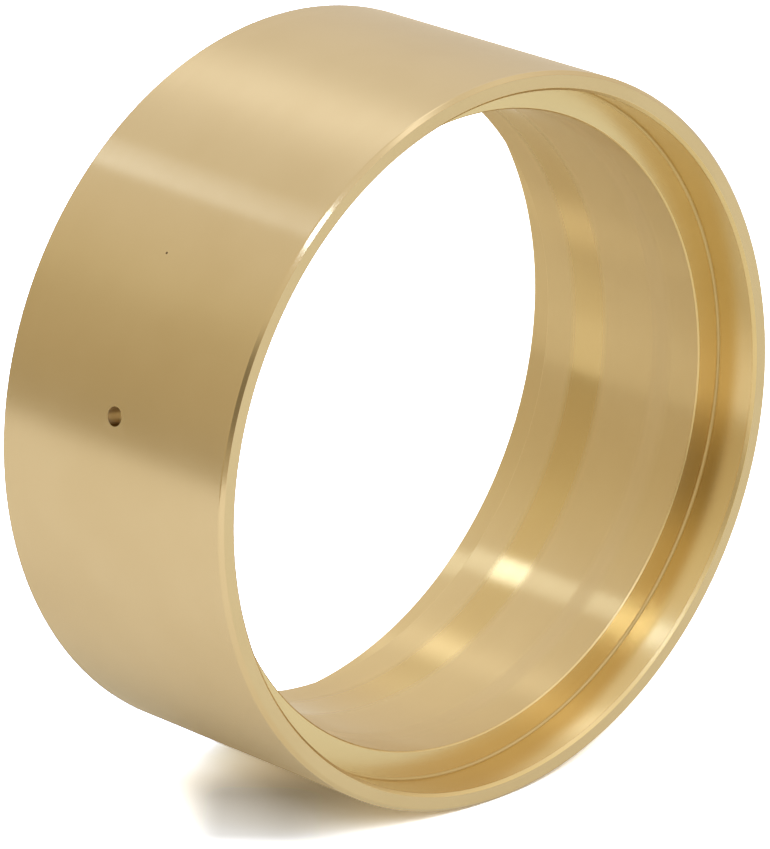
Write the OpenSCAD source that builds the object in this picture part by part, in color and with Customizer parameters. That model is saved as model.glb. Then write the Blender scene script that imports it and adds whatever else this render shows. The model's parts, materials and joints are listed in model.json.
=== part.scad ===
// Bronze sleeve bushing, turned from one piece of bronze.
// The axis lies along Y, the front opening faces -Y and +Z is up.
// The origin is on the axis, halfway between the two end faces.

/* [Sleeve] */
// Outside diameter, which seats in the housing
outer_dia = 115; // [40:0.5:300]
// Width from the front end face to the back end face
sleeve_width = 49; // [20:0.5:150]
// Wall between the outside and the bore
wall_thickness = 7.5; // [4:0.25:18]

/* [End recesses] */
// Wall left around the recess in each end
lip_thickness = 3; // [1.5:0.1:6.5]
// Depth of the recess in each end
recess_depth = 7.8; // [2:0.1:20]
// Radius that the turning tool leaves in the root of each recess
root_radius = 0.4; // [0.2:0.1:1.5]

/* [Edges] */
// Chamfer on both outside edges
outer_chamfer = 0.6; // [0.2:0.1:1.2]
// Chamfer on the mouth of each recess
recess_chamfer = 0.45; // [0.1:0.05:1.2]
// Chamfer where the bore opens into each recess
bore_chamfer = 0.2; // [0.1:0.05:1]

/* [Oil hole] */
// Diameter of the hole drilled through the wall
oil_hole_dia = 3; // [1:0.1:12]
// Turn of the hole about the axis, from straight up towards -X
oil_hole_angle = 77.8; // [0:0.1:360]
// Distance of the hole from the middle of the width, towards the back
oil_hole_shift = 0; // [-12:0.5:12]

/* [Hidden] */
$fn = 180;
BRONZE = [0.78, 0.64, 0.41];
// How far a cutting shape runs past the face that it opens
OVERCUT = 1;
outer_r = outer_dia / 2;
bore_r = outer_r - wall_thickness;
recess_r = outer_r - lip_thickness;
half_width = sleeve_width / 2;
// Distance from the middle of the width to each shoulder
shoulder_y = half_width - recess_depth;

// Both ends of the sleeve are alike: the children, made for the end at +Z, and their mirror image
module both_ends() {
    children();
    mirror([0, 0, 1]) children();
}

// A cone frustum that widens towards +Z at 45 degrees, from radius r at height z - size to radius r + size
// at the face, height z, and then runs straight on past the face
module mouth_chamfer(r, z, size) {
    translate([0, 0, z - size]) cylinder(r1 = r, r2 = r + size, h = size);
    translate([0, 0, z]) cylinder(r = r + size, h = OVERCUT);
}

// The outside of the sleeve, with its two chamfered edges
module blank() {
    cylinder(r = outer_r, h = sleeve_width - 2 * outer_chamfer, center = true);
    both_ends()
        translate([0, 0, half_width - outer_chamfer])
            cylinder(r1 = outer_r, r2 = outer_r - outer_chamfer, h = outer_chamfer);
}

// Everything bored out of one end: the recess and its chamfered mouth, and the edge of the bore,
// whose straight run past its face lies inside the open recess
module end_cut() {
    translate([0, 0, shoulder_y]) cylinder(r = recess_r, h = recess_depth + OVERCUT);
    mouth_chamfer(recess_r, half_width, recess_chamfer);
    mouth_chamfer(bore_r, shoulder_y, bore_chamfer);
}

// The ring of metal that rounds the root of one recess
module root_fillet() {
    rotate_extrude()
        translate([recess_r - root_radius, shoulder_y])
            difference() {
                square(root_radius);
                translate([0, root_radius]) circle(r = root_radius);
            }
}

module oil_hole() {
    rotate([0, -oil_hole_angle, 0])
        translate([0, oil_hole_shift, bore_r - OVERCUT])
            cylinder(d = oil_hole_dia, h = wall_thickness + 2 * OVERCUT);
}

module sleeve() {
    color(BRONZE)
        difference() {
            rotate([-90, 0, 0])
                union() {
                    difference() {
                        blank();
                        cylinder(r = bore_r, h = sleeve_width, center = true);
                        both_ends() end_cut();
                    }
                    both_ends() root_fillet();
                }
            oil_hole();
        }
}

sleeve();
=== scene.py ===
import json
import logging
import math
from dataclasses import dataclass
from enum import Enum
from typing import Sequence

import bmesh
import bpy
from mathutils import Matrix, Vector


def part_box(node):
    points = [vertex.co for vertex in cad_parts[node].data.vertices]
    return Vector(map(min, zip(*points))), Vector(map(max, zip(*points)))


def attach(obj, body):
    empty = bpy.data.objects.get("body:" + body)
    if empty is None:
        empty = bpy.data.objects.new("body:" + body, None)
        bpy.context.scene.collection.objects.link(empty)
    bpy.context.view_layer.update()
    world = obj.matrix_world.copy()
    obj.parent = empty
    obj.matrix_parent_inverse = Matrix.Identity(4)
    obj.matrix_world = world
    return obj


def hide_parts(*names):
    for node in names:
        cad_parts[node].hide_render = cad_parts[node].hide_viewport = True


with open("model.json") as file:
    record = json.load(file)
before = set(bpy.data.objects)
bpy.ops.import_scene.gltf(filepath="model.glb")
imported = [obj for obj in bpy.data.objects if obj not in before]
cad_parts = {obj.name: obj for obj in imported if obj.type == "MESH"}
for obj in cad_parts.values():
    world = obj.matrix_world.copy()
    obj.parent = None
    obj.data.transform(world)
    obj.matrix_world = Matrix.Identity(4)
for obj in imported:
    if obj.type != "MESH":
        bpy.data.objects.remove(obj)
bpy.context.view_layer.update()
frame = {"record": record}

logging.basicConfig(level=logging.INFO, format="%(message)s")
LOG = logging.getLogger("sleeve_bushing")

MM = 0.001
FULL_TURN = 2 * math.pi
Colour = tuple[float, float, float]


class Zone(Enum):
    """The differently finished surfaces of the sleeve, numbered as its material slots."""

    OUTSIDE = 0
    EDGE = 1
    END_FACE = 2
    RECESS = 3
    SHOULDER = 4
    BORE = 5
    OIL_HOLE = 6
    PORE = 7
    ROOT = 8
    INNER_EDGE = 9


class Course(Enum):
    """The way that the tool travelled over a turned surface."""

    ALONG_AXIS = "along the axis"
    ACROSS_FACE = "across the face"


class NodeSheet:
    """A node tree with short ways to add and join nodes."""

    # The colour sockets of a Mix node, by number
    MIX_FIRST = 6
    MIX_SECOND = 7
    MIX_RESULT = 2

    def __init__(self, tree: bpy.types.NodeTree) -> None:
        """Empties a node tree.

        Args:
            tree: The tree of a material, a world or a group.
        """
        self.tree = tree
        tree.nodes.clear()

    def add(self, kind: str, inputs: dict | None = None, **settings) -> bpy.types.Node:
        """Adds one node.

        Args:
            kind: The node's Blender type.
            inputs: Socket name or number to a value, or to a socket that feeds it.
            **settings: The node's own properties.

        Returns:
            The new node.
        """
        node = self.tree.nodes.new(kind)
        for name, value in settings.items():
            setattr(node, name, value)
        for socket, value in (inputs or {}).items():
            if isinstance(value, bpy.types.NodeSocket):
                self.tree.links.new(value, node.inputs[socket])
            else:
                node.inputs[socket].default_value = value
        return node

    def maths(self, operation: str, *terms) -> bpy.types.NodeSocket:
        """Adds a Math node.

        Args:
            operation: The Math node's operation.
            *terms: Numbers or sockets, in order.

        Returns:
            The result's socket.
        """
        return self.add("ShaderNodeMath", dict(enumerate(terms)), operation=operation).outputs[0]

    def mix(self, share: bpy.types.NodeSocket | float, first: object, second: object,
            blend: str = "MIX") -> bpy.types.NodeSocket:
        """Adds a mix of two colours.

        Args:
            share: How much of the second colour there is, from 0 to 1.
            first: The first colour, or the socket that feeds it.
            second: The second colour, or the socket that feeds it.
            blend: The way that the second goes over the first.

        Returns:
            The colour's socket.
        """
        node = self.add("ShaderNodeMix", {"Factor": share, self.MIX_FIRST: first, self.MIX_SECOND: second},
                        data_type="RGBA", blend_type=blend)
        return node.outputs[self.MIX_RESULT]

    def object_place(self) -> bpy.types.bpy_prop_collection:
        """Adds the place on the piece and gives its X, Y and Z."""
        place = self.add("ShaderNodeTexCoord").outputs["Object"]
        return self.add("ShaderNodeSeparateXYZ", {0: place}).outputs

    def smooth_step(self, value: bpy.types.NodeSocket, low: float, high: float,
                    to_low: float = 0.0, to_high: float = 1.0) -> bpy.types.NodeSocket:
        """Adds a smooth step from one level to another.

        Args:
            value: The socket that is read.
            low: Where the step starts.
            high: Where the step ends.
            to_low: The level before the step.
            to_high: The level after it.

        Returns:
            The result's socket.
        """
        levels = {"Value": value, "From Min": low, "From Max": high, "To Min": to_low, "To Max": to_high}
        node = self.add("ShaderNodeMapRange", levels, interpolation_type="SMOOTHSTEP")
        return node.outputs["Result"]

    def ramp(self, value: bpy.types.NodeSocket,
             stops: Sequence[tuple[float, Colour]]) -> bpy.types.NodeSocket:
        """Adds a colour ramp.

        Args:
            value: The socket that is read, from 0 to 1.
            stops: Places from 0 to 1 in rising order, each with its colour.

        Returns:
            The colour's socket.
        """
        node = self.add("ShaderNodeValToRGB", {"Fac": value})
        ramp = node.color_ramp
        while len(ramp.elements) < len(stops):
            ramp.elements.new(1.0)
        for element, (place, colour) in zip(ramp.elements, stops):
            element.position = place
            element.color = (*colour, 1.0)
        return node.outputs["Color"]


class EffectGroups:
    """The effects that several finishes share, each a shader node group built once."""

    TURNING_MARKS = "turning_marks"
    METAL_TONE = "metal_tone"
    CLOUD_LOW = 0.35
    CLOUD_HIGH = 0.7

    @staticmethod
    def start(name: str, inputs: Sequence[tuple[str, str, object]],
              outputs: Sequence[tuple[str, str]]) -> tuple[NodeSheet, bpy.types.Node, bpy.types.Node]:
        """Starts a group with its sockets.

        Args:
            name: The group's name.
            inputs: Name, socket type and default value of each input.
            outputs: Name and socket type of each output.

        Returns:
            The group's sheet, its input node and its output node.
        """
        group = bpy.data.node_groups.new(name, "ShaderNodeTree")
        for label, kind, value in inputs:
            group.interface.new_socket(label, in_out="INPUT", socket_type=kind).default_value = value
        for label, kind in outputs:
            group.interface.new_socket(label, in_out="OUTPUT", socket_type=kind)
        sheet = NodeSheet(group)
        return sheet, sheet.add("NodeGroupInput"), sheet.add("NodeGroupOutput")

    @classmethod
    def turning_marks(cls) -> bpy.types.NodeTree:
        """Builds the fine rings that a turning tool leaves, read along the tool's way.

        Returns:
            The group: Along in metres and two line counts per metre in; Height and Sheen, 0 to 1, out.
        """
        if cls.TURNING_MARKS in bpy.data.node_groups:
            return bpy.data.node_groups[cls.TURNING_MARKS]
        number = "NodeSocketFloat"
        sheet, given, result = cls.start(
            cls.TURNING_MARKS,
            [("Along", number, 0.0), ("Lines", number, 9000.0), ("Broad Lines", number, 700.0)],
            [("Height", number), ("Sheen", number)])
        fine = sheet.add("ShaderNodeTexNoise",
                         {"W": sheet.maths("MULTIPLY", given.outputs["Along"], given.outputs["Lines"]),
                          "Scale": 1.0, "Detail": 3.0, "Roughness": 0.6}, noise_dimensions="1D")
        broad = sheet.add("ShaderNodeTexNoise",
                          {"W": sheet.maths("MULTIPLY", given.outputs["Along"], given.outputs["Broad Lines"]),
                           "Scale": 1.0, "Detail": 2.0, "Roughness": 0.5}, noise_dimensions="1D")
        sheet.tree.links.new(fine.outputs["Fac"], result.inputs["Height"])
        sheet.tree.links.new(broad.outputs["Fac"], result.inputs["Sheen"])
        return sheet.tree

    @classmethod
    def metal_tone(cls) -> bpy.types.NodeTree:
        """Builds the slow change of tone over cast bronze, with faint cloudy patches.

        Returns:
            The group: Clean and Toned colours and Patches per metre in; Colour and Cloud out.
        """
        if cls.METAL_TONE in bpy.data.node_groups:
            return bpy.data.node_groups[cls.METAL_TONE]
        sheet, given, result = cls.start(
            cls.METAL_TONE,
            [("Clean", "NodeSocketColor", (1, 1, 1, 1)), ("Toned", "NodeSocketColor", (1, 1, 1, 1)),
             ("Patches", "NodeSocketFloat", 40.0)],
            [("Colour", "NodeSocketColor"), ("Cloud", "NodeSocketFloat")])
        place = sheet.add("ShaderNodeTexCoord").outputs["Object"]
        cloud = sheet.add("ShaderNodeTexNoise", {"Vector": place, "Scale": given.outputs["Patches"],
                                                 "Detail": 3.0, "Roughness": 0.55})
        share = sheet.smooth_step(cloud.outputs["Fac"], cls.CLOUD_LOW, cls.CLOUD_HIGH)
        mixed = sheet.mix(share, given.outputs["Clean"], given.outputs["Toned"])
        sheet.tree.links.new(mixed, result.inputs["Colour"])
        sheet.tree.links.new(cloud.outputs["Fac"], result.inputs["Cloud"])
        return sheet.tree

    @classmethod
    def add_tone(cls, sheet: NodeSheet, colours: tuple[Colour, Colour], patches: float) -> bpy.types.Node:
        """Adds the metal's tone to a material.

        Args:
            sheet: The material's nodes.
            colours: The clean colour and the toned one.
            patches: Cloudy patches per metre.

        Returns:
            The group's node.
        """
        clean, toned = colours
        given = {"Clean": (*clean, 1.0), "Toned": (*toned, 1.0), "Patches": patches}
        return sheet.add("ShaderNodeGroup", given, node_tree=cls.metal_tone())


@dataclass(frozen=True)
class TurnedFinish:
    """A turned bronze surface: satin along the tool's way and clearer round the turn.

    Each band is its start, its half blend and its share of dull metal, in metres along the axis.
    """

    # The grain lies a quarter turn from the tangent, along the axis
    GRAIN_TURN = 0.25

    name: str
    colours: tuple[Colour, Colour]
    roughness: float
    swing: float
    stretch: float
    mark_depth: float
    course: Course = Course.ALONG_AXIS
    lines: float = 9000.0
    haze: float = 0.0
    haze_roughness: float = 0.5
    haze_colours: tuple[Colour, Colour] = ((1, 1, 1), (1, 1, 1))
    bands: tuple[tuple[float, float, float], ...] = ()
    patches: float = 45.0
    broad_lines: float = 700.0

    def along(self, sheet: NodeSheet) -> bpy.types.NodeSocket:
        """Adds the distance along the tool's way, in metres.

        Args:
            sheet: The material's nodes.

        Returns:
            The distance's socket.
        """
        parts = sheet.object_place()
        if self.course is Course.ALONG_AXIS:
            return parts["Y"]
        square = sheet.maths("MULTIPLY", parts["X"], parts["X"])
        return sheet.maths("SQRT", sheet.maths("MULTIPLY_ADD", parts["Z"], parts["Z"], square))

    def material(self) -> bpy.types.Material:
        """Builds the finish.

        Returns:
            The finished material.
        """
        material = bpy.data.materials.new(self.name)
        material.use_nodes = True
        sheet = NodeSheet(material.node_tree)
        along = self.along(sheet)
        marks = sheet.add("ShaderNodeGroup",
                          {"Along": along, "Lines": self.lines, "Broad Lines": self.broad_lines},
                          node_tree=EffectGroups.turning_marks())
        tone = EffectGroups.add_tone(sheet, self.colours, self.patches)
        sheen = sheet.maths("SUBTRACT", marks.outputs["Sheen"], 0.5)
        rough = sheet.maths("MULTIPLY_ADD", sheen, self.swing, self.roughness)
        bump = sheet.add("ShaderNodeBump", {"Strength": 1.0, "Distance": self.mark_depth,
                                            "Height": marks.outputs["Height"]})
        tangent = sheet.add("ShaderNodeTangent", direction_type="RADIAL", axis="Y")
        clear = sheet.add("ShaderNodeBsdfPrincipled",
                          {"Base Color": tone.outputs["Colour"], "Metallic": 1.0, "Roughness": rough,
                           "Anisotropic": self.stretch, "Anisotropic Rotation": self.GRAIN_TURN,
                           "Normal": bump.outputs["Normal"], "Tangent": tangent.outputs["Tangent"]})
        surface = clear.outputs["BSDF"]
        if self.bands:
            dull = sheet.maths("MULTIPLY_ADD", sheen, self.swing, self.haze_roughness)
            dull_tone = EffectGroups.add_tone(sheet, self.haze_colours, self.patches)
            hazy = sheet.add("ShaderNodeBsdfPrincipled",
                             {"Base Color": dull_tone.outputs["Colour"], "Metallic": 1.0, "Roughness": dull,
                              "Normal": bump.outputs["Normal"]})
            mixed = sheet.add("ShaderNodeMixShader",
                              {0: self.haze_share(sheet, along), 1: surface, 2: hazy.outputs["BSDF"]})
            surface = mixed.outputs["Shader"]
        sheet.add("ShaderNodeOutputMaterial", {"Surface": surface})
        return material

    def haze_share(self, sheet: NodeSheet, along: bpy.types.NodeSocket) -> bpy.types.NodeSocket:
        """Adds how dull each band along the bore is.

        Args:
            sheet: The material's nodes.
            along: The distance along the axis.

        Returns:
            The share of dull metal.
        """
        share, level = self.haze, self.haze
        for start, blend, haze in self.bands:
            step = sheet.smooth_step(along, start - blend, start + blend)
            share = sheet.maths("MULTIPLY_ADD", step, haze - level, share)
            level = haze
        return share


@dataclass(frozen=True)
class PlainFinish:
    """A drilled or pitted bronze surface with no turned grain."""

    # How far the roughness swings between the patches
    SWING = 0.2

    name: str
    colours: tuple[Colour, Colour]
    roughness: float
    grain: float
    depth: float
    # Painted shade on the two sides of a hole's wall seen at a grazing angle: its colour, its turn and its
    # reach
    side_shade: Colour | None = None
    side_shade_turn: float = 0.0
    side_shade_reach: tuple[float, float] = (0.0, 1.0)

    def shade_sides(self, sheet: NodeSheet, colour: bpy.types.NodeSocket) -> bpy.types.NodeSocket:
        """Paints shade on the two sides of a hole's wall that face along the turn, where the wall is seen at
        a grazing angle and looks dark.

        Args:
            sheet: The material's nodes.
            colour: The colour of the wall without its painted shade.

        Returns:
            The colour with its painted shade.
        """
        parts = sheet.object_place()
        across = sheet.maths("MULTIPLY", parts["X"], math.cos(self.side_shade_turn))
        across = sheet.maths("MULTIPLY_ADD", parts["Z"], math.sin(self.side_shade_turn), across)
        share = sheet.smooth_step(sheet.maths("ABSOLUTE", across), *self.side_shade_reach)
        return sheet.mix(share, colour, (*self.side_shade, 1.0))

    def material(self) -> bpy.types.Material:
        """Builds the finish.

        Returns:
            The finished material.
        """
        material = bpy.data.materials.new(self.name)
        material.use_nodes = True
        sheet = NodeSheet(material.node_tree)
        tone = EffectGroups.add_tone(sheet, self.colours, self.grain)
        smoothest = self.roughness - self.SWING / 2
        rough = sheet.maths("MULTIPLY_ADD", tone.outputs["Cloud"], self.SWING, smoothest)
        bump = sheet.add("ShaderNodeBump", {"Strength": 1.0, "Distance": self.depth,
                                            "Height": tone.outputs["Cloud"]})
        colour = tone.outputs["Colour"]
        if self.side_shade:
            colour = self.shade_sides(sheet, colour)
        surface = sheet.add("ShaderNodeBsdfPrincipled",
                            {"Base Color": colour, "Metallic": 1.0, "Roughness": rough,
                             "Normal": bump.outputs["Normal"]})
        sheet.add("ShaderNodeOutputMaterial", {"Surface": surface.outputs["BSDF"]})
        return material


@dataclass(frozen=True)
class SleeveSizes:
    """The sizes of the sleeve, in millimetres. Turns are from straight up towards -X, in radians."""

    outer_radius: float
    bore_radius: float
    recess_radius: float
    half_width: float
    shoulder_y: float
    hole_radius: float
    hole_turn: float
    root_radius: float = 0.4
    outer_chamfer: float = 0.6
    recess_chamfer: float = 0.45
    bore_chamfer: float = 0.2
    pore_radius: float = 0.19
    pore_depth: float = 0.16
    pore_turn: float = math.radians(52.35)

    @classmethod
    def from_frame(cls, record: dict) -> "SleeveSizes":
        """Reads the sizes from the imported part.

        Args:
            record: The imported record.

        Returns:
            The sleeve's sizes.
        """
        low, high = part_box("sleeve")
        mounts = {mount["name"]: mount for mount in record["mounts"]}
        hole = mounts["oil_hole"]
        return cls(
            outer_radius=mounts["housing_seat"]["dims"]["r_mm"],
            bore_radius=mounts["shaft_bore"]["dims"]["r_mm"],
            recess_radius=mounts["front_recess"]["dims"]["r_mm"],
            half_width=(high.y - low.y) / 2 / MM,
            shoulder_y=mounts["back_shoulder"]["pos_m"][1] / MM,
            hole_radius=hole["dims"]["r_mm"],
            hole_turn=math.atan2(-hole["axis"][0], hole["axis"][2]),
        )


class Sleeve:
    """The bushing itself: one ring of bronze, turned all over, with an oil hole drilled through its wall."""

    SEGMENTS = 512
    ROUND_SEGMENTS = 4
    ROOT_SEGMENTS = 6
    CRISP_SEGMENTS = 2
    # The round on the outside chamfer, and the break on every other arris
    EDGE_ROUND = 0.13
    CRISP = 0.03
    # The width of the border that holds a zone's shading flat
    SUPPORT = 0.04
    # The rings that are cut across the middle, and how many of them each mouth takes
    RING_PITCH = 0.65
    HOLE_REACH = 4
    PORE_REACH = 2
    MOUTH_SIDES = 8
    # How deep a layer around a surface is searched for its faces
    SKIN = 0.1
    PORE_TAPER = 0.5
    NEAR = 0.005
    FLAT = 0.999
    CHAMFER_SLOPE = math.sqrt(0.5)

    def __init__(self, sizes: SleeveSizes, finishes: dict[Zone, TurnedFinish | PlainFinish]) -> None:
        """Keeps the sleeve's sizes and finishes.

        Args:
            sizes: The sleeve's sizes.
            finishes: The finish of each zone.
        """
        self.sizes = sizes
        self.finishes = finishes
        self.mesh = bmesh.new()

    @staticmethod
    def radius_of(point: Vector) -> float:
        """Gives a point's distance from the axis."""
        return math.hypot(point.x, point.z)

    @staticmethod
    def turn_of(point: Vector) -> float:
        """Gives a point's turn about the axis, from straight up towards -X."""
        return math.atan2(-point.x, point.z)

    def turn_profile(self) -> None:
        """Spins the eight corners of the plain section into a ring."""
        s = self.sizes
        corners = [
            (s.outer_radius, -s.half_width), (s.outer_radius, s.half_width),
            (s.recess_radius, s.half_width), (s.recess_radius, s.shoulder_y),
            (s.bore_radius, s.shoulder_y), (s.bore_radius, -s.shoulder_y),
            (s.recess_radius, -s.shoulder_y), (s.recess_radius, -s.half_width),
        ]
        sin, cos = math.sin(s.hole_turn), math.cos(s.hole_turn)
        verts = [self.mesh.verts.new((-radius * sin, y, radius * cos)) for radius, y in corners]
        edges = [self.mesh.edges.new((a, b)) for a, b in zip(verts, verts[1:] + verts[:1])]
        bmesh.ops.spin(self.mesh, geom=verts + edges, cent=(0, 0, 0), axis=(0, 1, 0), dvec=(0, 0, 0),
                       angle=FULL_TURN, steps=self.SEGMENTS, use_merge=True)
        bmesh.ops.recalc_face_normals(self.mesh, faces=self.mesh.faces[:])

    def rings(self, radius: float, y: float) -> list[bmesh.types.BMEdge]:
        """Finds the edges of the ring at a radius, at both ends of the sleeve.

        Args:
            radius: The ring's radius.
            y: Its distance from the middle of the width.

        Returns:
            The edges of both rings.
        """
        return [
            edge for edge in self.mesh.edges
            if edge.verts[0].co.y * edge.verts[1].co.y > 0
            and all(abs(self.radius_of(v.co) - radius) < self.NEAR and abs(abs(v.co.y) - y) < self.NEAR
                    for v in edge.verts)
        ]

    def break_edges(self, edges: list[bmesh.types.BMEdge], size: float, segments: int) -> None:
        """Chamfers or rounds rings of edges.

        Args:
            edges: The edges of the rings.
            size: How far the cut runs back from each edge.
            segments: 1 for a chamfer, more for a round.
        """
        bmesh.ops.bevel(self.mesh, geom=edges, offset=size, offset_type="OFFSET", segments=segments,
                        profile=0.5, affect="EDGES", material=-1)

    def work_edges(self) -> None:
        """Cuts the chamfers, rounds the recess roots, and takes the sharpness off every arris."""
        s = self.sizes
        self.break_edges(self.rings(s.outer_radius, s.half_width), s.outer_chamfer, 1)
        self.break_edges(self.rings(s.recess_radius, s.half_width), s.recess_chamfer, 1)
        self.break_edges(self.rings(s.bore_radius, s.shoulder_y), s.bore_chamfer, 1)
        self.break_edges(self.rings(s.recess_radius, s.shoulder_y), s.root_radius, self.ROOT_SEGMENTS)
        self.break_edges(self.rings(s.outer_radius, s.half_width - s.outer_chamfer),
                         self.EDGE_ROUND, self.ROUND_SEGMENTS)
        crisp = (
            self.rings(s.outer_radius - s.outer_chamfer, s.half_width)
            + self.rings(s.recess_radius + s.recess_chamfer, s.half_width)
            + self.rings(s.recess_radius, s.half_width - s.recess_chamfer)
            + self.rings(s.bore_radius + s.bore_chamfer, s.shoulder_y)
            + self.rings(s.bore_radius, s.shoulder_y - s.bore_chamfer)
        )
        self.break_edges(crisp, self.CRISP, self.CRISP_SEGMENTS)

    def zone_of(self, face: bmesh.types.BMFace) -> Zone:
        """Says which zone a face of the turned ring belongs to.

        Args:
            face: A face, before the holes are made.

        Returns:
            The zone.
        """
        s = self.sizes
        centre = face.calc_center_median()
        slope = abs(face.normal.y)
        if slope > self.FLAT:
            return Zone.END_FACE if abs(abs(centre.y) - s.half_width) < self.NEAR else Zone.SHOULDER
        radius = self.radius_of(centre)
        if slope > 1 - self.FLAT:
            in_corner = radius > s.recess_radius - s.root_radius
            if in_corner and abs(centre.y) < s.shoulder_y + s.root_radius:
                return Zone.ROOT
            middle_of_lip = (s.outer_radius + s.recess_radius) / 2
            return Zone.EDGE if radius > middle_of_lip else Zone.INNER_EDGE
        walls = {Zone.OUTSIDE: s.outer_radius, Zone.RECESS: s.recess_radius, Zone.BORE: s.bore_radius}
        wall = min(walls, key=lambda zone: abs(walls[zone] - radius))
        in_back_recess = wall is Zone.RECESS and centre.y > 0
        return Zone.BORE if in_back_recess else wall

    def mark_zones(self) -> None:
        """Gives each face its zone, and each zone a narrow border that holds its shading flat."""
        for face in self.mesh.faces:
            face.material_index = self.zone_of(face).value
            face.smooth = True
        flats = [[face for face in self.mesh.faces if face.material_index == zone.value]
                 for zone in (Zone.OUTSIDE, Zone.END_FACE, Zone.RECESS, Zone.SHOULDER, Zone.BORE)]
        flats.append([face for face in self.mesh.faces
                      if abs(abs(face.normal.y) - self.CHAMFER_SLOPE) < self.NEAR])
        for faces in flats:
            bmesh.ops.inset_region(self.mesh, faces=faces, thickness=self.SUPPORT, depth=0,
                                   use_boundary=True, use_even_offset=True)

    def cut_rings(self) -> None:
        """Cuts the rings across the middle that the hole and the pore are opened between."""
        for step in range(-self.HOLE_REACH, self.HOLE_REACH + 1):
            whole = self.mesh.verts[:] + self.mesh.edges[:] + self.mesh.faces[:]
            bmesh.ops.bisect_plane(self.mesh, geom=whole, plane_co=(0, step * self.RING_PITCH, 0),
                                   plane_no=(0, 1, 0))

    def open_round(self, turn: float, surface: float, reach: int,
                   radius: float) -> list[bmesh.types.BMEdge]:
        """Opens a round mouth in a cylindrical surface.

        Args:
            turn: The mouth's turn about the axis.
            surface: The radius of the surface.
            reach: How many columns and rings on each side of the mouth are remade.
            radius: The mouth's own radius.

        Returns:
            The edges of the mouth.
        """
        step = FULL_TURN / self.SEGMENTS
        low, high = surface - self.SKIN, surface + self.SKIN
        patch = []
        for face in self.mesh.faces:
            centre = face.calc_center_median()
            away = (self.turn_of(centre) - turn + math.pi) % FULL_TURN - math.pi
            if low < self.radius_of(centre) < high and abs(away) < reach * step \
                    and abs(centre.y) < reach * self.RING_PITCH:
                patch.append(face)
        zone = patch[0].material_index
        bmesh.ops.delete(self.mesh, geom=patch, context="FACES")
        border = [edge for edge in self.mesh.edges if edge.is_boundary and all(
            abs(v.co.y) < (reach + 0.5) * self.RING_PITCH and low < self.radius_of(v.co) < high
            for v in edge.verts)]
        circle = bmesh.ops.create_circle(
            self.mesh, cap_ends=False, radius=radius, segments=self.MOUTH_SIDES * reach,
            matrix=Matrix.Rotation(-turn, 4, "Y") @ Matrix.Translation((0, 0, surface)))["verts"]
        outward = Vector((-math.sin(turn), 0, math.cos(turn)))
        for vert in circle:
            vert.co += outward * (surface - self.radius_of(vert.co))
        mouth = [edge for vert in circle for edge in vert.link_edges if edge.verts[0] == vert]
        joined = bmesh.ops.bridge_loops(self.mesh, edges=border + mouth)["faces"]
        for face in joined:
            face.material_index = zone
            face.smooth = True
        return mouth

    def drill(self) -> None:
        """Drills the oil hole through the wall, with a crisp edge at both of its ends."""
        s = self.sizes
        outer = self.open_round(s.hole_turn, s.outer_radius, self.HOLE_REACH, s.hole_radius)
        inner = self.open_round(s.hole_turn, s.bore_radius, self.HOLE_REACH, s.hole_radius)
        wall = bmesh.ops.bridge_loops(self.mesh, edges=outer + inner)["faces"]
        for face in wall:
            face.material_index = Zone.OIL_HOLE.value
            face.smooth = True
        for edge in outer + inner:
            edge.smooth = False

    def pit(self) -> None:
        """Sinks the small pore into the outside, on the same ring as the oil hole."""
        s = self.sizes
        step = FULL_TURN / self.SEGMENTS
        turn = s.hole_turn + round((s.pore_turn - s.hole_turn) / step) * step
        mouth = self.open_round(turn, s.outer_radius, self.PORE_REACH, s.pore_radius)
        made = bmesh.ops.extrude_edge_only(self.mesh, edges=mouth)["geom"]
        deep = [item for item in made if isinstance(item, bmesh.types.BMVert)]
        sides = [item for item in made if isinstance(item, bmesh.types.BMFace)]
        floor_edges = [item for item in made if isinstance(item, bmesh.types.BMEdge)
                       and all(v in deep for v in item.verts)]
        outward = Vector((-math.sin(turn), 0, math.cos(turn)))
        centre = outward * (s.outer_radius - s.pore_depth)
        for vert in deep:
            vert.co = centre.lerp(vert.co - outward * s.pore_depth, self.PORE_TAPER)
        floor = bmesh.ops.edgeloop_fill(self.mesh, edges=floor_edges)["faces"]
        for face in sides + floor:
            face.material_index = Zone.PORE.value
        for edge in mouth:
            edge.smooth = False

    def build(self) -> bpy.types.Object:
        """Makes the whole sleeve and puts it in the place of its CAD node.

        Returns:
            The finished piece.
        """
        self.turn_profile()
        self.work_edges()
        self.mark_zones()
        self.cut_rings()
        self.drill()
        self.pit()
        bmesh.ops.recalc_face_normals(self.mesh, faces=self.mesh.faces[:])
        bmesh.ops.scale(self.mesh, verts=self.mesh.verts[:], vec=(MM, MM, MM))
        data = bpy.data.meshes.new("bronze_sleeve")
        self.mesh.to_mesh(data)
        self.mesh.free()
        for zone in Zone:
            data.materials.append(self.finishes[zone].material())
        piece = bpy.data.objects.new("bronze_sleeve", data)
        bpy.context.scene.collection.objects.link(piece)
        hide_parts("sleeve")
        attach(piece, "root")
        return piece


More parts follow.
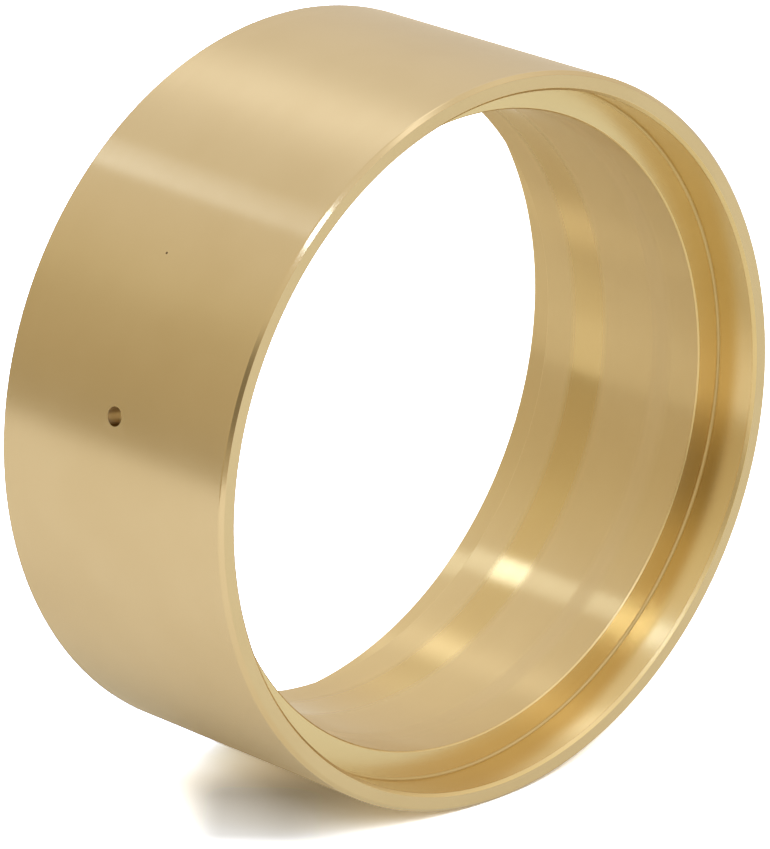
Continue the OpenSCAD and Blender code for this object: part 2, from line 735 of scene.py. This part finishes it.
@dataclass(frozen=True)
class Softbox:
    """A square soft lamp, seen in the bronze and lighting the floor."""

    name: str
    direction: tuple[float, float, float]
    distance: float
    width: float
    height: float
    watts: float
    colour: Colour = (1.0, 1.0, 1.0)
    mirrored: bool = True
    spread: float = math.pi
    aim: tuple[float, float, float] = (0.0, 0.0, 0.0)

    def build(self) -> bpy.types.Object:
        """Makes the lamp, turned to what it is aimed at.

        Returns:
            The lamp.
        """
        data = bpy.data.lights.new(self.name, "AREA")
        data.shape = "RECTANGLE"
        data.size = self.width
        data.size_y = self.height
        data.energy = self.watts
        data.color = self.colour
        data.spread = self.spread
        lamp = bpy.data.objects.new(self.name, data)
        place = Vector(self.direction).normalized() * self.distance
        lamp.matrix_world = (Matrix.Translation(place)
                             @ self.facing((Vector(self.aim) - place).normalized()).to_4x4())
        lamp.visible_glossy = self.mirrored
        lamp.visible_camera = False
        bpy.context.scene.collection.objects.link(lamp)
        return lamp

    @staticmethod
    def facing(forward: Vector) -> Matrix:
        """Gives a turn whose -Z is forward and whose Y stays as near to the sleeve's axis as it can."""
        back = -forward
        up = (Vector((0, 1, 0)) - back * back.y).normalized()
        return Matrix((up.cross(back), up, back)).transposed()


class Studio:
    """The pale table, the surround and lamps that the bronze mirrors, and the camera."""

    FLOOR_EDGE_X = -0.380
    FLOOR_FAR = 6.0
    # The table's colour where the bronze mirrors it, and where the camera looks at it
    TABLE_MIRRORED = (0.698, 0.736, 0.794)
    TABLE_SEEN = (2.00, 2.08, 2.20)
    # The dark patch at the contact: where it starts, is full, ebbs and ends, along x + y and x - y
    CONTACT_SHADE = 0.62
    CONTACT_ALONG = (-0.060, -0.045, -0.025, -0.003)
    CONTACT_ACROSS = (-0.053, -0.035, -0.024, 0.012)
    CLEAR_LIGHT = (1.28, 1.45, 1.80)
    CLEAR_ALONG = (-0.018, 0.002)
    CLEAR_ACROSS = (-0.038, -0.015)
    # The table's painted warm glow, seen only in the bronze, for the light that the sleeve throws on it
    GLOW_COLOUR = (0.24, 0.19, 0.12)
    # Painted shade on the table that the bronze mirrors, by X, in front of the sleeve and behind it: the
    # sleeve's shadow, warmed by the light it throws back
    WARM_REACH = 0.2
    OPEN_SHADE = (0.77, 0.77, 0.77)
    NEAR_SHADE = (
        (-0.085, OPEN_SHADE),
        (-0.051, (0.716, 0.708, 0.67)),
        (-0.030, (0.647, 0.67, 0.631)),
    )
    FAR_SHADE = (
        (-0.075, OPEN_SHADE),
        (-0.050, (0.645, 0.635, 0.605)),
        (-0.006, (0.645, 0.635, 0.605)),
        (0.006, (1.0, 0.98, 0.92)),
        (0.014, (1.0, 0.98, 0.92)),
        (0.026, (0.60, 0.57, 0.49)),
        (0.045, (0.56, 0.52, 0.41)),
        (0.100, (0.46, 0.40, 0.25)),
        (0.128, OPEN_SHADE),
    )
    FAR_SHADE_Y = (0.050, 0.065)
    SEEN_LIGHT = 1.2
    SURROUND_PEAK = 2.2
    # The light of the surround, by turn about the sleeve's axis in degrees
    SURROUND_LIGHT = (
        (-180, (0.66, 0.59, 0.45)),
        (-170, (0.62, 0.56, 0.42)),
        (-90, (0.60, 0.54, 0.42)),
        (-30, (0.93, 0.92, 0.89)),
        (10, (0.93, 0.89, 0.82)),
        (32, (1.01, 0.97, 0.93)),
        (46, (1.14, 1.12, 1.08)),
        (62, (1.00, 0.98, 0.94)),
        (72, (1.80, 1.88, 2.12)),
        (82, (1.07, 1.05, 1.03)),
        (98, (1.01, 0.99, 0.96)),
        (122, (1.00, 0.96, 0.88)),
        (140, (0.91, 0.86, 0.72)),
        (152, (0.80, 0.735, 0.58)),
        (168, (0.73, 0.655, 0.50)),
        (180, (0.68, 0.61, 0.46)),
    )
    # The dark stand beside the camera
    STAND_DIRECTION = (-0.658, -0.728, 0.190)
    STAND_OUTER = math.radians(16)
    STAND_INNER = math.radians(5)
    STAND_LEVEL = 0.38
    LENS = 289.27
    CAMERA_PLACE = (-0.676608, -0.710328, 0.349482)
    CAMERA_LOOK = (0.64834, 0.68213, -0.33814)

    def __init__(self, floor_z: float) -> None:
        """Keeps the height of the table.

        Args:
            floor_z: The height of the table's top.
        """
        self.floor_z = floor_z

    def floor(self) -> bpy.types.Object:
        """Makes the pale table that the sleeve stands on.

        Returns:
            The table's top.
        """
        bm = bmesh.new()
        bmesh.ops.create_grid(bm, x_segments=2, y_segments=2, size=self.FLOOR_FAR)
        bmesh.ops.translate(bm, verts=bm.verts[:],
                            vec=(self.FLOOR_FAR + self.FLOOR_EDGE_X, 0, self.floor_z))
        data = bpy.data.meshes.new("table_top")
        bm.to_mesh(data)
        bm.free()
        data.materials.append(self.table_finish())
        top = bpy.data.objects.new("table_top", data)
        bpy.context.scene.collection.objects.link(top)
        return top

    def table_finish(self) -> bpy.types.Material:
        """Builds the table's finish: pale to the camera, and darker and warmer in the bronze, with painted
        shade and a painted warm glow that only the bronze sees.

        Returns:
            The finished material.
        """
        material = bpy.data.materials.new("pale_table")
        material.use_nodes = True
        sheet = NodeSheet(material.node_tree)
        seen = sheet.add("ShaderNodeLightPath").outputs["Is Camera Ray"]
        parts = sheet.object_place()
        shade = sheet.mix(seen, self.mirrored_shade(sheet, parts), self.contact_shade(sheet, parts))
        bright = sheet.mix(seen, (*self.TABLE_MIRRORED, 1), (*self.TABLE_SEEN, 1))
        lit = sheet.add("ShaderNodeBsdfDiffuse", {"Color": sheet.mix(1.0, bright, shade, "MULTIPLY")})
        glow = sheet.add("ShaderNodeEmission", {"Color": (*self.GLOW_COLOUR, 1),
                                                "Strength": sheet.maths("SUBTRACT", 1.0, seen)})
        surface = sheet.add("ShaderNodeAddShader", {0: lit.outputs["BSDF"], 1: glow.outputs["Emission"]})
        sheet.add("ShaderNodeOutputMaterial", {"Surface": surface.outputs["Shader"]})
        return material

    def mirrored_shade(self, sheet: NodeSheet, parts: bpy.types.bpy_prop_collection) -> bpy.types.NodeSocket:
        """Adds the painted shade on the table as the bronze mirrors it.

        Args:
            sheet: The table's nodes.
            parts: The X, Y and Z of a place on the table.

        Returns:
            The shade at each place.
        """
        width = 2 * self.WARM_REACH
        place = sheet.maths("MULTIPLY_ADD", parts["X"], 1 / width, 0.5)
        near, far = (sheet.ramp(place, [(0.5 + x / width, colour) for x, colour in stops])
                     for stops in (self.NEAR_SHADE, self.FAR_SHADE))
        return sheet.mix(sheet.smooth_step(parts["Y"], *self.FAR_SHADE_Y), near, far)

    def contact_shade(self, sheet: NodeSheet, parts: bpy.types.bpy_prop_collection) -> bpy.types.NodeSocket:
        """Adds the soft dark patch where the sleeve touches the table, and the clear light behind it.

        Args:
            sheet: The table's nodes.
            parts: The X, Y and Z of a place on the table.

        Returns:
            The light left at each place.
        """
        along = sheet.maths("ADD", parts["X"], parts["Y"])
        across = sheet.maths("SUBTRACT", parts["X"], parts["Y"])
        shares = []
        for place, (start, full, ebb, end) in ((along, self.CONTACT_ALONG), (across, self.CONTACT_ACROSS)):
            rise = sheet.smooth_step(place, start, full)
            shares.append(sheet.maths("SUBTRACT", rise, sheet.smooth_step(place, ebb, end)))
        dark = sheet.maths("MULTIPLY_ADD", sheet.maths("MULTIPLY", *shares), -self.CONTACT_SHADE, 1.0)
        behind = sheet.smooth_step(along, *self.CLEAR_ALONG)
        covered = sheet.maths("MULTIPLY", behind, sheet.smooth_step(across, *self.CLEAR_ACROSS))
        clear = sheet.maths("SUBTRACT", behind, covered)
        light = sheet.mix(clear, (1, 1, 1, 1), (*self.CLEAR_LIGHT, 1))
        return sheet.mix(1.0, light, dark, "MULTIPLY")

    def surround(self) -> None:
        """Sets the soft surround: a ramp of light around the sleeve's axis, white where the camera looks."""
        world = bpy.data.worlds.new("studio_surround")
        bpy.context.scene.world = world
        world.use_nodes = True
        sheet = NodeSheet(world.node_tree)
        looking = sheet.add("ShaderNodeTexCoord").outputs["Generated"]
        parts = sheet.add("ShaderNodeSeparateXYZ", {0: looking}).outputs
        turn = sheet.maths("ARCTAN2", parts["Z"], parts["X"])
        place = sheet.maths("MULTIPLY_ADD", turn, 1 / FULL_TURN, 0.5)
        light = sheet.ramp(place, [(0.5 + angle / 360, tuple(part / self.SURROUND_PEAK for part in colour))
                                   for angle, colour in self.SURROUND_LIGHT])
        towards = sheet.add("ShaderNodeVectorMath", {0: looking, 1: self.STAND_DIRECTION},
                            operation="DOT_PRODUCT").outputs["Value"]
        dimmed = sheet.smooth_step(towards, math.cos(self.STAND_OUTER), math.cos(self.STAND_INNER),
                                   1.0, self.STAND_LEVEL)
        strength = sheet.maths("MULTIPLY", dimmed, self.SURROUND_PEAK)
        mirrored = sheet.add("ShaderNodeBackground", {"Color": light, "Strength": strength})
        seen = sheet.add("ShaderNodeBackground", {"Color": (1, 1, 1, 1), "Strength": self.SEEN_LIGHT})
        path = sheet.add("ShaderNodeLightPath")
        mixed = sheet.add("ShaderNodeMixShader", {0: path.outputs["Is Camera Ray"],
                                                  1: mirrored.outputs[0], 2: seen.outputs[0]})
        sheet.add("ShaderNodeOutputWorld", {"Surface": mixed.outputs[0]})

    def lamps(self) -> None:
        """Hangs the lamps."""
        for lamp in (
            Softbox("back_window", (-0.240, 0.682, 0.690), distance=1.0, width=0.12, height=0.11,
                    watts=0.0032, colour=WINDOW, spread=math.radians(20), aim=(0.07, 0, -0.077)),
            Softbox("front_window", (-0.26, -0.684, 0.686), distance=1.0, width=0.13, height=0.11,
                    watts=0.80, colour=WINDOW),
            Softbox("key", (-0.6, -0.8, 1.0), distance=1.3, width=0.8, height=0.8,
                    watts=16.0, mirrored=False),
        ):
            lamp.build()
            LOG.info("lamp %s", lamp.name)

    def camera(self) -> bpy.types.Object:
        """Sets the camera, level and looking down over the sleeve's left side.

        Returns:
            The camera.
        """
        data = bpy.data.cameras.new("camera")
        data.lens = self.LENS
        data.sensor_width = 36.0
        data.clip_start = 0.01
        data.clip_end = 50.0
        camera = bpy.data.objects.new("camera", data)
        camera.location = self.CAMERA_PLACE
        camera.rotation_mode = "QUATERNION"
        camera.rotation_quaternion = Vector(self.CAMERA_LOOK).to_track_quat("-Z", "Y")
        bpy.context.scene.collection.objects.link(camera)
        bpy.context.scene.camera = camera
        return camera

    def build(self) -> None:
        """Sets up the whole studio."""
        self.floor()
        self.surround()
        self.lamps()
        self.camera()
        bpy.context.scene.view_settings.view_transform = "Standard"
        bpy.context.scene.view_settings.look = "None"


WINDOW: Colour = (0.43, 0.585, 1.0)
# Each bronze is its clean colour and its toned one. The sleeve is one bronze: the turned zones' bronzes below
# differ from BRONZE as painted light and shade, each lighter or darker to make up in part for lighting that
# the studio doesn't reproduce.
BRONZE = ((0.62, 0.475, 0.255), (0.60, 0.455, 0.238))
FACE_BRONZE_AND_PAINTED_LIGHT = ((0.66, 0.51, 0.285), (0.64, 0.49, 0.268))
RECESS_BRONZE_AND_PAINTED_LIGHT = ((0.70, 0.525, 0.245), (0.68, 0.505, 0.23))
ROOT_BRONZE_AND_PAINTED_SHADE = ((0.61, 0.45, 0.20), (0.59, 0.43, 0.185))
SHOULDER_BRONZE_AND_PAINTED_LIGHT = ((0.72, 0.575, 0.315), (0.70, 0.555, 0.30))
BORE_BRONZE_AND_PAINTED_SHADE = ((0.60, 0.43, 0.175), (0.58, 0.41, 0.165))
HAZE_BRONZE_AND_PAINTED_LIGHT = ((0.67, 0.515, 0.27), (0.65, 0.495, 0.255))
# The drilled wall's bronze is much paler than the metal: painted light, so the inside of the hole shows lit.
DRILLED_BRONZE_AND_PAINTED_LIGHT = ((1.0, 0.85, 0.56), (0.94, 0.77, 0.46))
# The pore's bronze is far darker than the metal: painted shade inside the pit.
PORE_BRONZE_AND_PAINTED_SHADE = ((0.22, 0.14, 0.07), (0.15, 0.09, 0.04))
# The colour of the painted shade on the oil hole's two grazing sides
HOLE_SIDE_SHADE: Colour = (0.24, 0.13, 0.02)
# Where the bore's sheen changes: start and half blend in millimetres, and the share of dull metal
BORE_BANDS = ((-10.4, 1.2, 0.94), (-6.8, 0.7, 0.75), (3.8, 1.0, 0.08), (10.7, 1.0, 0.74))
FACE_LINES = 7000.0


def finishes(hole_turn: float) -> dict[Zone, TurnedFinish | PlainFinish]:
    """Lists the finish of each zone.

    Args:
        hole_turn: The oil hole's turn about the axis.

    Returns:
        The finishes by zone.
    """
    bands = tuple((start * MM, blend * MM, haze) for start, blend, haze in BORE_BANDS)
    return {
        Zone.OUTSIDE: TurnedFinish("satin_outside", BRONZE, roughness=0.24, swing=0.02, stretch=1.0,
                                   mark_depth=0.0004 * MM),
        Zone.EDGE: TurnedFinish("bright_edge", BRONZE, roughness=0.18, swing=0.03, stretch=0.5,
                                mark_depth=0.0003 * MM),
        Zone.END_FACE: TurnedFinish("faced_end", FACE_BRONZE_AND_PAINTED_LIGHT, roughness=0.26, swing=0.04, stretch=0.7,
                                    mark_depth=0.0006 * MM, course=Course.ACROSS_FACE, lines=FACE_LINES),
        Zone.RECESS: TurnedFinish("recess_wall", RECESS_BRONZE_AND_PAINTED_LIGHT, roughness=0.24, swing=0.03, stretch=0.6,
                                  mark_depth=0.0),
        Zone.ROOT: TurnedFinish("recess_root", ROOT_BRONZE_AND_PAINTED_SHADE, roughness=0.48, swing=0.03, stretch=0.0,
                                mark_depth=0.0001 * MM),
        Zone.INNER_EDGE: TurnedFinish("inner_edge", RECESS_BRONZE_AND_PAINTED_LIGHT, roughness=0.32, swing=0.03, stretch=0.0,
                                      mark_depth=0.0001 * MM),
        Zone.SHOULDER: TurnedFinish("faced_shoulder", SHOULDER_BRONZE_AND_PAINTED_LIGHT, roughness=0.24, swing=0.03,
                                    stretch=0.6, mark_depth=0.0, course=Course.ACROSS_FACE,
                                    lines=FACE_LINES),
        Zone.BORE: TurnedFinish("banded_bore", BORE_BRONZE_AND_PAINTED_SHADE, roughness=0.165, swing=0.02, stretch=0.6,
                                mark_depth=0.0004 * MM, haze=0.74, haze_colours=HAZE_BRONZE_AND_PAINTED_LIGHT, bands=bands),
        Zone.OIL_HOLE: PlainFinish("drilled_wall", DRILLED_BRONZE_AND_PAINTED_LIGHT, roughness=0.45, grain=900.0,
                                   depth=0.05 * MM, side_shade=HOLE_SIDE_SHADE, side_shade_turn=hole_turn,
                                   side_shade_reach=(1.0 * MM, 1.4 * MM)),
        Zone.PORE: PlainFinish("open_pore", PORE_BRONZE_AND_PAINTED_SHADE, roughness=0.6, grain=3000.0, depth=0.01 * MM),
    }


def main() -> None:
    """Builds the sleeve and its studio."""
    sizes = SleeveSizes.from_frame(frame["record"])
    sleeve = Sleeve(sizes, finishes(sizes.hole_turn)).build()
    LOG.info("piece %s: %d faces", sleeve.name, len(sleeve.data.polygons))
    Studio(floor_z=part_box("sleeve")[0].z).build()


if __name__ == "__main__":
    main()
